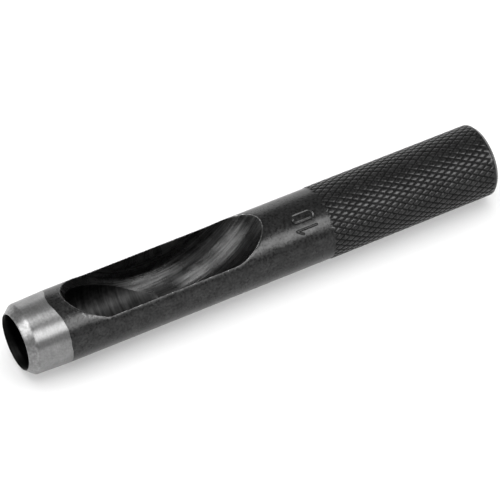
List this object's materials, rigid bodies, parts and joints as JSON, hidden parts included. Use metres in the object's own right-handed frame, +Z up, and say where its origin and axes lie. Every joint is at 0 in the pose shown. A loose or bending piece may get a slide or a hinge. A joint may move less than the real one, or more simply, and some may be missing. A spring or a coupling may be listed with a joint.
{
  "type": "drive hole punch",
  "caption": "Hollow drive punch turned from round steel bar, with a bevelled ring cutting edge, a side window that lets the cut discs out, and a knurled grip struck with a hammer.",
  "frame": {"origin": "on the surface it lies on, below the middle of the bar's length", "axes": "+X along the bar from the cutting edge to the struck face, +Z up through the middle of the chip window, +Y across the bar"},
  "size_m": [0.09, 0.013, 0.013],
  "materials": {
    "black_oxide_steel": "satin black oxide over machined tool steel, ground bright over the first 7 mm at the cutting end"
  },
  "bodies": {
    "root": {"punch_body": "black_oxide_steel"}
  },
  "joints": []
}
